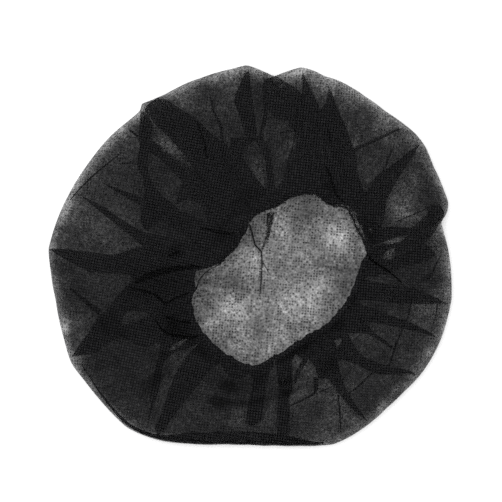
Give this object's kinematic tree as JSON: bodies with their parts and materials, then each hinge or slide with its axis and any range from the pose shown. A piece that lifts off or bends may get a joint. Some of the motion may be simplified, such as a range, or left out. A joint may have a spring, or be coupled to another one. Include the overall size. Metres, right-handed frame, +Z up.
{
  "type": "bouffant cap",
  "caption": "Bouffant cap of thin black mesh-like nonwoven with an elastic edge, lying flat on its crown with the gathered mouth up.",
  "frame": {"origin": "middle of the outline's box, on the surface that the cap lies on", "axes": "+Z up out of the mouth, +X along the longer way across the outline, +Y across it"},
  "size_m": [0.3338, 0.316, 0.0368],
  "materials": {
    "nonwoven": "black spunbond polypropylene nonwoven, thin and see-through, point-bonded in a fine square grid",
    "gathered_edge": "the same black nonwoven, turned over and scrunched by the elastic",
    "elastic": "thin black covered elastic"
  },
  "bodies": {
    "root": {"crown": "nonwoven", "hem": "gathered_edge", "elastic": "elastic"}
  },
  "joints": []
}
